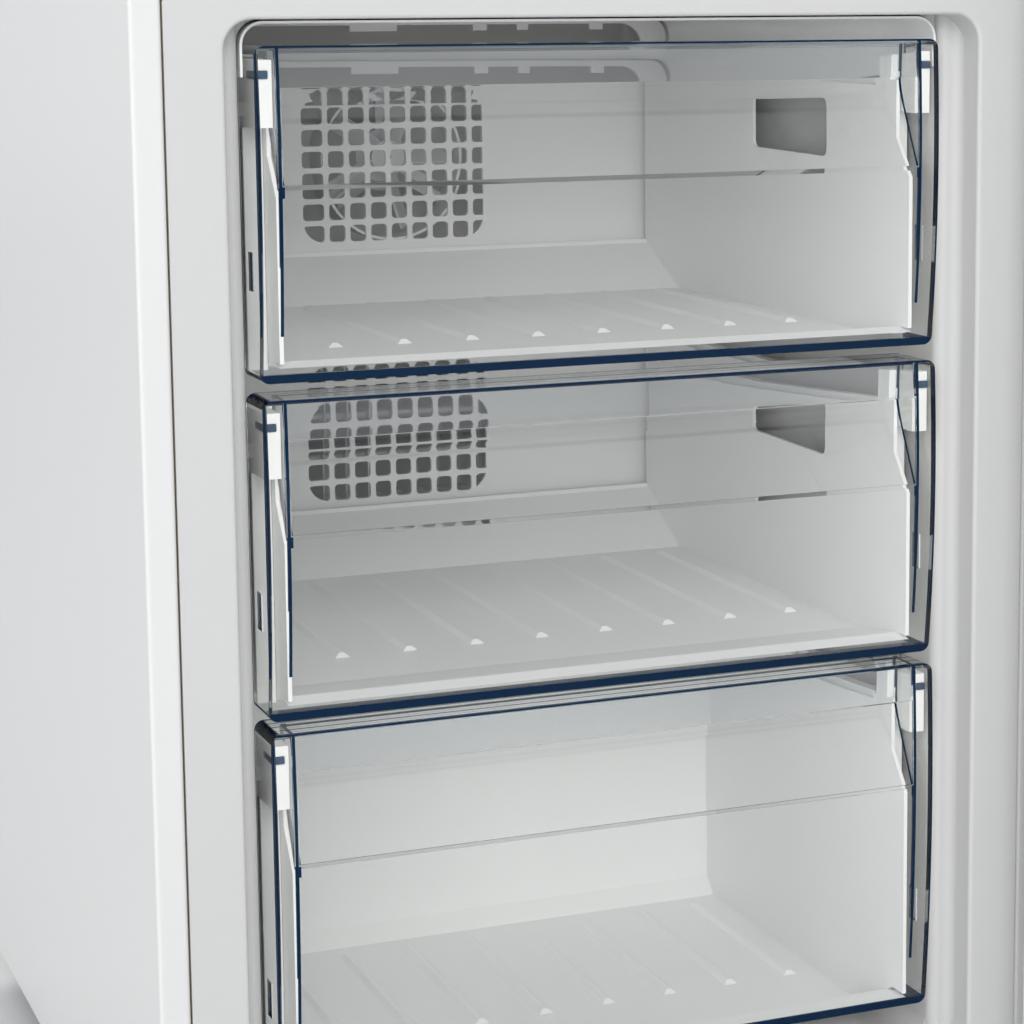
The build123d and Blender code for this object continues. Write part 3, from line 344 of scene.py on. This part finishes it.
def zinc_plated_steel():
    """Pressed hinge steel with bright zinc: fine scratches, light grey."""
    # Handling marks about 3 mm long.
    material, tree, shader = new_finish("zinc_plated_steel", srgb("#C2C5C7"), 0.3, Metallic=1.0)
    vary(tree, shader, wide_noise(tree, 3, 3.0, (1.0, 1.0, 0.3)), 0.24, 0.42)
    return material


def black_enamelled_steel():
    """Stoved black enamel of the compressor shell and condenser: satin, slightly wavy."""
    # Runs in the enamel are about 12 mm apart.
    material, tree, shader = new_finish("black_enamelled_steel", srgb("#1C1D1F"), 0.35)
    enamel = wide_noise(tree, 12)
    relief(tree, shader, enamel, 0.05)
    vary(tree, shader, enamel, 0.28, 0.45)
    return material


def mill_aluminium():
    """Rolled fin stock and tube of the evaporator: bare, dulled by frost, with rolling lines."""
    # Rolling lines about 1 mm apart along the sheet; drawn at 2 mm.
    material, tree, shader = new_finish("mill_aluminium", srgb("#E0E2E4"), 0.5, Metallic=1.0)
    vary(tree, shader, wide_noise(tree, 2, 2.0, (1.0, 1.0, 0.1)), 0.42, 0.6)
    return material


def copper_tube():
    """Soft drawn copper: warm, with darker oxide patches."""
    # Oxide patches 8 mm wide.
    material, tree, shader = new_finish("drawn_copper_tube", srgb("#C98E6C"), 0.32, Metallic=1.0)
    oxide = wide_noise(tree, 8, 3.0)
    tint(tree, shader, oxide, srgb("#D19A78"), srgb("#A26A4C"))
    vary(tree, shader, oxide, 0.25, 0.45)
    return material


def lacquered_aluminium(colours):
    """Clear lacquer over brushed aluminium of the handles: fine lines along the bar."""
    # Brush lines 0.3 mm apart; drawn at 1.2 mm to show.
    material, tree, shader = new_finish(
        "lacquered_brushed_aluminium", colours.grip, 0.34, Metallic=0.9, **{"Coat Weight": 0.25}
    )
    vary(tree, shader, wide_noise(tree, 1.2, 2.0, (1.0, 1.0, 0.03)), 0.28, 0.42)
    return material


# Finishes of the plastic, glass and rubber pieces


def formed_polystyrene(colours):
    """Vacuum formed high impact polystyrene: glossy white with a slow wave where it was drawn."""
    # The sheet thins unevenly over some 60 mm.
    material, tree, shader = new_finish("vacuum_formed_polystyrene", colours.liner, 0.3)
    wave = wide_noise(tree, 60, 1.0)
    relief(tree, shader, wave, 0.25)
    tint(tree, shader, wave, colours.liner, darker(colours.liner, 0.985))
    return material


def moulded_polypropylene(name, colour, thin=False):
    """Injection moulded white polypropylene: satin, with a fine spark-eroded grain."""
    # The grain is 0.2 mm; drawn at 1.5 mm to show.
    material, tree, shader = new_finish(name, colour, 0.42)
    grain = wide_noise(tree, 1.5, 2.0)
    relief(tree, shader, grain, 0.012)
    vary(tree, shader, wide_noise(tree, 40), 0.38, 0.46)
    if thin:
        # A wall of 2 mm lets much of the light through to the space behind it.
        let_light_in(tree, shader, srgb("#F0F1F2"), soft=False)
    return material


def painted_edge_shade(tree, name):
    """A mask of painted navy shade along the rims and corners of a drawer front, where light runs
    along inside the wall.
    """
    low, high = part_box(name)
    where = add_node(tree, "ShaderNodeTexCoord")
    axes = add_node(tree, "ShaderNodeSeparateXYZ", links={"Vector": where.outputs["Object"]})
    across = maths(tree, "ABSOLUTE", axes.outputs["X"], 0.0)
    depth = maths(tree, "SUBTRACT", axes.outputs["Y"], low[1])
    height = axes.outputs["Z"]
    face = maths(tree, "COMPARE", depth, 0.0, FACE_EDGE)
    rear = maths(tree, "COMPARE", depth, high[1] - low[1], RIM_EDGE)
    foot = maths(tree, "COMPARE", height, low[2], FOOT_EDGE)
    top = maths(tree, "COMPARE", height, high[2], RIM_EDGE)
    corner = maths(tree, "COMPARE", across, high[0], CORNER_EDGE)
    recess = maths(tree, "COMPARE", across, high[0] - RECESS_INSET, RECESS_EDGE)
    # The painted shade line where the finger recess's rear wall ends follows its bend.
    fall = maths(tree, "SUBTRACT", height, high[2] - RECESS_DROP)
    fall = maths(tree, "MULTIPLY_ADD", fall, RECESS_SLOPE, RECESS_DEPTH)
    bend = maths(tree, "SMOOTH_MIN", fall, RECESS_DEPTH, RECESS_BEND)
    bend = maths(tree, "COMPARE", depth, bend, BEND_EDGE)
    ends = maths(tree, "COMPARE", across, high[0] - WALL_INSET, WALL_EDGE)
    # Painted shade lines at the moulded steps along the top rim.
    steps = maths(tree, "FLOORED_MODULO", depth, STEP_PITCH)
    steps = maths(tree, "COMPARE", steps, STEP_PITCH / 2, STEP_EDGE)
    rims = maths(tree, "MAXIMUM", maths(tree, "MAXIMUM", face, rear), steps)
    edge_shade_mask = foot
    for first, second in (
        (face, maths(tree, "MAXIMUM", corner, recess)),
        (bend, ends),
        (rims, top),
        (rear, corner),
    ):
        edge_shade_mask = maths(tree, "MAXIMUM", edge_shade_mask, maths(tree, "MULTIPLY", first, second))
    return edge_shade_mask


def clear_blue_styrene(colours, sizes, name):
    """Transparent blue styrene of the drawer fronts: clear face on, with navy shade painted along
    the edges.
    """
    # The dye takes light with depth: a 3 mm wall is pale, and light that runs inside it to an edge
    # comes out navy.
    # The render's rays stop before that, so navy shade is painted along the edges: partly the dye's
    # own depth there, partly the dark that the guided light leaves.
    material, tree, shader = new_finish(
        "clear_blue_styrene_" + name,
        (1.0, 1.0, 1.0),
        0.01,
        IOR=1.5,
        **{"Transmission Weight": 1.0},
    )
    edge_shade_mask = painted_edge_shade(tree, name)
    tone = add_node(tree, "ShaderNodeMix", links={"Factor": edge_shade_mask}, data_type="RGBA")
    tone.inputs["A"].default_value = (1.0, 1.0, 1.0, 1.0)
    tone.inputs["B"].default_value = (*colours.edge, 1.0)
    tree.links.new(tone.outputs["Result"], shader.inputs["Base Color"])
    # Where the shade is painted, the front turns opaque navy and less glossy
    passed = maths(tree, "MULTIPLY_ADD", edge_shade_mask, -0.9, 1.0)
    tree.links.new(passed, shader.inputs["Transmission Weight"])
    gloss = maths(tree, "MULTIPLY_ADD", edge_shade_mask, -0.4, 0.5)
    tree.links.new(gloss, shader.inputs["Specular IOR Level"])
    flow = wide_noise(tree, 45, 1.0)
    relief(tree, shader, flow, 0.03, 0.6)
    vary(tree, shader, wide_noise(tree, 25), 0.0, 0.03)
    dye = add_node(
        tree,
        "ShaderNodeVolumeAbsorption",
        {"Color": (*colours.clear, 1.0), "Density": 1 / sizes.tint_depth},
    )
    output = next(n for n in tree.nodes if n.type == "OUTPUT_MATERIAL")
    tree.links.new(dye.outputs["Volume"], output.inputs["Volume"])
    let_light_in(tree, shader, srgb("#FFFEFB"))
    return material


def deep_blue_styrene(colours):
    """The same styrene in thick tabs and stubs, where it looks navy all through."""
    # Flow marks 6 mm apart.
    material, tree, shader = new_finish(
        "deep_blue_styrene", colours.edge, 0.12, IOR=1.5, **{"Specular IOR Level": 0.3}
    )
    marks = wide_noise(tree, 6, 1.0)
    tint(tree, shader, marks, colours.edge, srgb("#0B4470"))
    vary(tree, shader, marks, 0.08, 0.2)
    return material


def printed_ink():
    """Grey screen print of the marks round the thermostat knob."""
    # The print wears unevenly over some 2 mm.
    material, tree, shader = new_finish("grey_screen_print", srgb("#5E6266"), 0.5)
    wear = wide_noise(tree, 2)
    tint(tree, shader, wear, srgb("#565A5E"), srgb("#6C7074"))
    return material


def clear_styrene():
    """Colourless styrene of the crisper, balconies and lamp cover."""
    # Slow ripples from the mould, 45 mm across.
    material, tree, shader = new_finish(
        "clear_styrene", srgb("#F4F7F8"), 0.03, IOR=1.5, **{"Transmission Weight": 1.0}
    )
    relief(tree, shader, wide_noise(tree, 45, 1.0), 0.03)
    vary(tree, shader, wide_noise(tree, 25), 0.01, 0.06)
    let_light_in(tree, shader, srgb("#FAFBFB"))
    return material


def toughened_glass():
    """Float glass shelf, 4 mm: clear, green at its edges."""
    # Roller wave of toughened glass, 150 mm apart.
    material, tree, shader = new_finish(
        "toughened_float_glass", srgb("#F2FAF6"), 0.0, IOR=1.52, **{"Transmission Weight": 1.0}
    )
    relief(tree, shader, wide_noise(tree, 150, 0.0), 0.05)
    iron = add_node(
        tree,
        "ShaderNodeVolumeAbsorption",
        {"Color": (*srgb("#A9D9C4"), 1.0), "Density": 4.0},
    )
    output = next(n for n in tree.nodes if n.type == "OUTPUT_MATERIAL")
    tree.links.new(iron.outputs["Volume"], output.inputs["Volume"])
    let_light_in(tree, shader, srgb("#F6FAF8"))
    return material


def soft_vinyl(colours):
    """Extruded soft vinyl of the door gaskets: dull grey-white with a waxy feel."""
    # Extrusion lines run along each side, some 4 mm apart.
    material, tree, shader = new_finish("soft_vinyl_gasket", colours.gasket, 0.55)
    lines = wide_noise(tree, 4)
    relief(tree, shader, lines, 0.04)
    tint(tree, shader, lines, colours.gasket, darker(colours.gasket, 0.94))
    return material


def black_nylon():
    """Moulded black nylon of the feet, rollers and drip tray: dull, fine grained."""
    # Grain 0.5 mm; drawn at 2 mm.
    material, tree, shader = new_finish("moulded_black_nylon", srgb("#222325"), 0.5)
    relief(tree, shader, wide_noise(tree, 2), 0.03)
    vary(tree, shader, wide_noise(tree, 20), 0.42, 0.58)
    return material


def grey_nylon():
    """Moulded grey nylon of the fan and its ring: satin, fine grained."""
    # Grain 0.5 mm; drawn at 2 mm.
    material, tree, shader = new_finish("moulded_grey_nylon", srgb("#E4E6E8"), 0.45)
    relief(tree, shader, wide_noise(tree, 2), 0.02)
    vary(tree, shader, wide_noise(tree, 20), 0.38, 0.52)
    return material


def moulded_rubber():
    """Black rubber mounts: matt, with a little bloom."""
    # Bloom patches 10 mm wide.
    material, tree, shader = new_finish("moulded_black_rubber", srgb("#1A1A1A"), 0.75)
    bloom = wide_noise(tree, 10, 3.0)
    tint(tree, shader, bloom, srgb("#161616"), srgb("#2A2A2A"))
    return material


def rigid_foam():
    """Blown polyurethane foam between sheet and liner: straw coloured, cellular."""
    # Cells are under 1 mm; drawn at 3 mm.
    material, tree, shader = new_finish("rigid_polyurethane_foam", srgb("#E4D6A4"), 0.9)
    cells = wide_noise(tree, 3, 4.0)
    relief(tree, shader, cells, 0.4)
    tint(tree, shader, cells, srgb("#EADDAF"), srgb("#D3C28A"))
    return material


# Small pieces of the freezer drawers and the knob


def new_piece(name, body, mesh, material):
    """Turns a finished bmesh into a piece that rides on a body."""
    data = bpy.data.meshes.new(name)
    mesh.to_mesh(data)
    mesh.free()
    data.materials.append(material)
    data.shade_smooth()
    piece = bpy.data.objects.new(name, data)
    bpy.context.scene.collection.objects.link(piece)
    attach(piece, body)
    return piece


def add_bar(mesh, low, high, edge=0.0):
    """A box between two corners, with its edges rounded."""
    size = Vector(high) - Vector(low)
    made = bmesh.ops.create_cube(mesh, size=1.0)["verts"]
    bmesh.ops.scale(mesh, vec=size, verts=made)
    bmesh.ops.translate(mesh, vec=(Vector(high) + Vector(low)) / 2, verts=made)
    if edge:
        edges = {item for corner in made for item in corner.link_edges}
        bmesh.ops.bevel(
            mesh,
            geom=list(edges),
            offset=edge,
            affect="EDGES",
            segments=2,
            profile=0.5,
            material=-1,
        )


class REFRIGERATOR_OT_front_flanges(bpy.types.Operator):
    """Flanges of the white baskets that close the sides behind the clear fronts"""

    bl_idname = "refrigerator.front_flanges"
    bl_label = "Basket flanges"

    def execute(self, context):
        colours = context.scene.refrigerator_colours
        # The flanges take the basket white, painted brighter than the trims to make up for the
        # shade beside the fronts
        material = moulded_polypropylene("moulded_polypropylene_flange", colours.basket)
        for body in DRAWERS:
            low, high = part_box(body + "_front")
            inner, outer = high[0] - FLANGE_INNER, high[0] - FLANGE_OUTER
            mesh = bmesh.new()
            for side in (-1, 1):
                first, second = sorted((side * inner, side * outer))
                add_bar(
                    mesh,
                    (first, high[1] - FLANGE_FRONT, low[2] + FLANGE_LOW),
                    (second, high[1] - FLANGE_REAR, high[2] - FLANGE_HIGH),
                    FLANGE_ROUND,
                )
            new_piece(body + "_flanges", body, mesh, material)
        return {"FINISHED"}


class REFRIGERATOR_OT_front_tabs(bpy.types.Operator):
    """Blue tabs of the clear fronts that lock into the notches of the basket hooks"""

    bl_idname = "refrigerator.front_tabs"
    bl_label = "Front tabs"

    def execute(self, context):
        material = deep_blue_styrene(context.scene.refrigerator_colours)
        for body in DRAWERS:
            low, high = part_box(body + "_front")
            inner, outer = high[0] - TAB_INNER, high[0] - TAB_OUTER
            start = low[1] + TAB_START
            mesh = bmesh.new()
            for side in (-1, 1):
                first, second = sorted((side * inner, side * outer))
                add_bar(
                    mesh,
                    (first, start, high[2] - TAB_LOW),
                    (second, start + TAB_LENGTH, high[2] - TAB_HIGH),
                    TAB_ROUND,
                )
            new_piece(body + "_tabs", body, mesh, material)
        return {"FINISHED"}


class REFRIGERATOR_OT_knob_marks(bpy.types.Operator):
    """Printed marks round the thermostat knob, wider towards the coldest setting"""

    bl_idname = "refrigerator.knob_marks"
    bl_label = "Knob marks"

    def execute(self, context):
        low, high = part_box("thermostat_knob")
        middle = Vector(((low[0] + high[0]) / 2, 0, (low[2] + high[2]) / 2))
        panel = high[1] + KNOB_GAP
        reach = (high[0] - low[0]) / 2 + MARK_GAP
        mesh = bmesh.new()
        for step in range(MARK_COUNT):
            turn = math.radians(KNOB_TURN * (step / (MARK_COUNT - 1) - 0.5))
            wide = MARK_THIN + MARK_GROWTH * step
            start = len(mesh.verts)
            add_bar(
                mesh,
                (-wide, panel - MARK_PROUD, reach),
                (wide, panel + MARK_SUNK, reach + MARK_LENGTH),
            )
            mesh.verts.ensure_lookup_table()
            made = mesh.verts[start:]
            matrix = Matrix.Rotation(turn, 3, "Y")
            bmesh.ops.rotate(mesh, cent=(0, 0, 0), matrix=matrix, verts=made)
            bmesh.ops.translate(mesh, vec=middle, verts=made)
        new_piece("knob_marks", "cabinet", mesh, printed_ink())
        return {"FINISHED"}


# Operators for the CAD nodes' finishes


class REFRIGERATOR_OT_cabinet(bpy.types.Operator):
    """Finish the sheet steel of the cabinet, its foam, feet and rollers"""

    bl_idname = "refrigerator.cabinet"
    bl_label = "Cabinet"

    def execute(self, context):
        colours = context.scene.refrigerator_colours
        coat = powder_coated_steel(colours)
        dress(coat, "left_side_panel", "right_side_panel", "top_panel", "mullion_bar")
        dress(coat, "fridge_door_skin", "freezer_door_skin")
        dress(galvanised_steel(), "back_panel", "base_frame")
        dress(zinc_plated_steel(), "top_hinge", "middle_hinge", "bottom_hinge", "hinge_screws")
        dress(rigid_foam(), "insulation_foam", "fridge_door_foam", "freezer_door_foam")
        dress(black_nylon(), "left_foot", "right_foot", "left_roller", "right_roller")
        return {"FINISHED"}


class REFRIGERATOR_OT_liners(bpy.types.Operator):
    """Finish the formed liners and the moulded covers inside them"""

    bl_idname = "refrigerator.liners"
    bl_label = "Liners and covers"

    def execute(self, context):
        colours = context.scene.refrigerator_colours
        formed = formed_polystyrene(colours)
        dress(formed, "freezer_liner", "fridge_liner", "fridge_door_liner", "freezer_door_liner")
        # The basket white carries a painted lift for the dim light inside the freezer
        basket = moulded_polypropylene("moulded_polypropylene_basket", colours.basket)
        dress(basket, "freezer_ceiling_panel")
        dress(basket, *(body + "_basket" for body in DRAWERS))
        cover = moulded_polypropylene("moulded_polypropylene_thin", colours.basket, thin=True)
        dress(cover, "evaporator_cover")
        trim = moulded_polypropylene("moulded_polypropylene_trim", colours.trim)
        dress(trim, "control_housing", "thermostat_knob", "shelf_trims", "hinge_cover")
        dress(trim, "air_duct_cover", "fridge_door_caps", "freezer_door_caps")
        return {"FINISHED"}


class REFRIGERATOR_OT_clear_pieces(bpy.types.Operator):
    """Finish the clear drawer fronts, shelves, crisper and balconies"""

    bl_idname = "refrigerator.clear_pieces"
    bl_label = "Clear pieces"

    def execute(self, context):
        colours = context.scene.refrigerator_colours
        sizes = context.scene.refrigerator_sizes
        for body in DRAWERS:
            name = body + "_front"
            dress(clear_blue_styrene(colours, sizes, name), name)
        dress(toughened_glass(), "upper_shelf", "middle_shelf", "lower_shelf", "crisper_shelf")
        clear = clear_styrene()
        dress(clear, "crisper_drawer", "upper_balcony", "middle_balcony", "bottle_balcony")
        dress(clear, "lamp_cover")
        return {"FINISHED"}


class REFRIGERATOR_OT_doors(bpy.types.Operator):
    """Finish the gaskets and handles of the doors"""

    bl_idname = "refrigerator.doors"
    bl_label = "Door seals and handles"

    def execute(self, context):
        colours = context.scene.refrigerator_colours
        dress(soft_vinyl(colours), "fridge_door_gasket", "freezer_door_gasket")
        dress(lacquered_aluminium(colours), "fridge_door_handle", "freezer_door_handle")
        return {"FINISHED"}


class REFRIGERATOR_OT_machine(bpy.types.Operator):
    """Finish the cooling machine"""

    bl_idname = "refrigerator.machine"
    bl_label = "Cooling machine"

    def execute(self, context):
        dress(black_enamelled_steel(), "compressor", "condenser")
        dress(moulded_rubber(), "compressor_mounts")
        dress(copper_tube(), "refrigerant_pipes")
        dress(mill_aluminium(), "evaporator", "defrost_heater")
        dress(black_nylon(), "drip_tray")
        dress(grey_nylon(), "fan_motor", "evaporator_fan")
        return {"FINISHED"}


class REFRIGERATOR_OT_stage(bpy.types.Operator):
    """Floor, lights and the camera at the photograph's viewing angle"""

    bl_idname = "refrigerator.stage"
    bl_label = "Stage"

    def execute(self, context):
        scene = context.scene
        studio = scene.refrigerator_studio
        scene.view_settings.view_transform = "Standard"
        self.lay_floor(studio)
        self.light_world(scene, studio)
        for name, place, aim_height, size, power in LAMPS:
            self.add_softbox(name, place, (0, 0, aim_height), size, getattr(studio, power))
        self.add_camera(scene, studio)
        return {"FINISHED"}

    def lay_floor(self, studio):
        mesh = bmesh.new()
        bmesh.ops.create_circle(mesh, cap_ends=True, segments=96, radius=FLOOR_RADIUS)
        data = bpy.data.meshes.new("studio_floor")
        mesh.to_mesh(data)
        mesh.free()
        floor = bpy.data.objects.new("studio_floor", data)
        bpy.context.scene.collection.objects.link(floor)
        # Matt painted floor, nearly even in tone.
        material, tree, shader = new_finish("painted_studio_floor", studio.floor, 0.8)
        tint(tree, shader, wide_noise(tree, 900), studio.floor, darker(studio.floor, 0.98))
        data.materials.append(material)

    def light_world(self, scene, studio):
        world = bpy.data.worlds.new("studio_world")
        world.use_nodes = True
        tree = world.node_tree
        tree.nodes.clear()
        path = add_node(tree, "ShaderNodeLightPath").outputs
        seen = maths(tree, "MAXIMUM", path["Is Camera Ray"], path["Is Glossy Ray"])
        seen = maths(tree, "MAXIMUM", seen, path["Is Transmission Ray"])
        ambient = add_node(
            tree,
            "ShaderNodeBackground",
            {"Color": (*srgb("#F4F6F8"), 1.0), "Strength": studio.ambient},
        )
        backdrop = add_node(
            tree,
            "ShaderNodeBackground",
            {"Color": (*srgb("#F2F3F4"), 1.0), "Strength": BACKDROP_STRENGTH},
        )
        both = add_node(
            tree,
            "ShaderNodeMixShader",
            links={
                0: seen,
                1: ambient.outputs["Background"],
                2: backdrop.outputs["Background"],
            },
        )
        add_node(tree, "ShaderNodeOutputWorld", links={"Surface": both.outputs["Shader"]})
        scene.world = world

    def add_softbox(self, name, place, aim, size, power):
        data = bpy.data.lights.new("softbox_" + name, "AREA")
        data.shape = "SQUARE"
        data.size = size
        data.energy = power
        lamp = bpy.data.objects.new("softbox_" + name, data)
        bpy.context.scene.collection.objects.link(lamp)
        lamp.location = place
        direction = Vector(aim) - Vector(place)
        lamp.rotation_euler = direction.to_track_quat("-Z", "Y").to_euler()
        lamp.visible_glossy = False
        lamp.visible_transmission = False

    def add_camera(self, scene, studio):
        data = bpy.data.cameras.new("camera")
        data.sensor_width = 36
        data.lens = studio.lens
        data.shift_x = CAMERA_SHIFT
        data.shift_y = CAMERA_SHIFT
        data.clip_start = 0.05
        data.clip_end = 60
        camera = bpy.data.objects.new("camera", data)
        scene.collection.objects.link(camera)
        turn = (
            Matrix.Rotation(math.radians(CAMERA_AZIMUTH), 4, "Z")
            @ Matrix.Rotation(math.radians(CAMERA_TILT), 4, "X")
            @ Matrix.Rotation(math.radians(CAMERA_ROLL), 4, "Z")
        )
        camera.matrix_world = Matrix.Translation(CAMERA_PLACE) @ turn
        scene.camera = camera


class REFRIGERATOR_PT_panel(bpy.types.Panel):
    """Sidebar panel with the refrigerator's operators and settings"""

    bl_label = "Refrigerator"
    bl_idname = "REFRIGERATOR_PT_panel"
    bl_space_type = "VIEW_3D"
    bl_region_type = "UI"
    bl_category = "Refrigerator"

    def draw(self, context):
        layout = self.layout
        for step in STEPS:
            layout.operator(step.bl_idname)
        for group in (
            context.scene.refrigerator_colours,
            context.scene.refrigerator_sizes,
            context.scene.refrigerator_studio,
        ):
            box = layout.box()
            for name in group.bl_rna.properties.keys():
                if name not in ("rna_type", "name"):
                    box.prop(group, name)


STEPS = (
    REFRIGERATOR_OT_cabinet,
    REFRIGERATOR_OT_liners,
    REFRIGERATOR_OT_clear_pieces,
    REFRIGERATOR_OT_doors,
    REFRIGERATOR_OT_machine,
    REFRIGERATOR_OT_front_flanges,
    REFRIGERATOR_OT_front_tabs,
    REFRIGERATOR_OT_knob_marks,
    REFRIGERATOR_OT_stage,
)
CLASSES = (RefrigeratorColours, RefrigeratorSizes, StudioSettings, *STEPS, REFRIGERATOR_PT_panel)


def register():
    for item in CLASSES:
        bpy.utils.register_class(item)
    scene = bpy.types.Scene
    scene.refrigerator_colours = bpy.props.PointerProperty(type=RefrigeratorColours)
    scene.refrigerator_sizes = bpy.props.PointerProperty(type=RefrigeratorSizes)
    scene.refrigerator_studio = bpy.props.PointerProperty(type=StudioSettings)


def unregister():
    scene = bpy.types.Scene
    del scene.refrigerator_studio
    del scene.refrigerator_sizes
    del scene.refrigerator_colours
    for item in reversed(CLASSES):
        bpy.utils.unregister_class(item)


def main():
    register()
    bpy.ops.refrigerator.cabinet()
    bpy.ops.refrigerator.liners()
    bpy.ops.refrigerator.clear_pieces()
    bpy.ops.refrigerator.doors()
    bpy.ops.refrigerator.machine()
    bpy.ops.refrigerator.front_flanges()
    bpy.ops.refrigerator.front_tabs()
    bpy.ops.refrigerator.knob_marks()
    bpy.ops.refrigerator.stage()


if __name__ == "__main__":
    main()
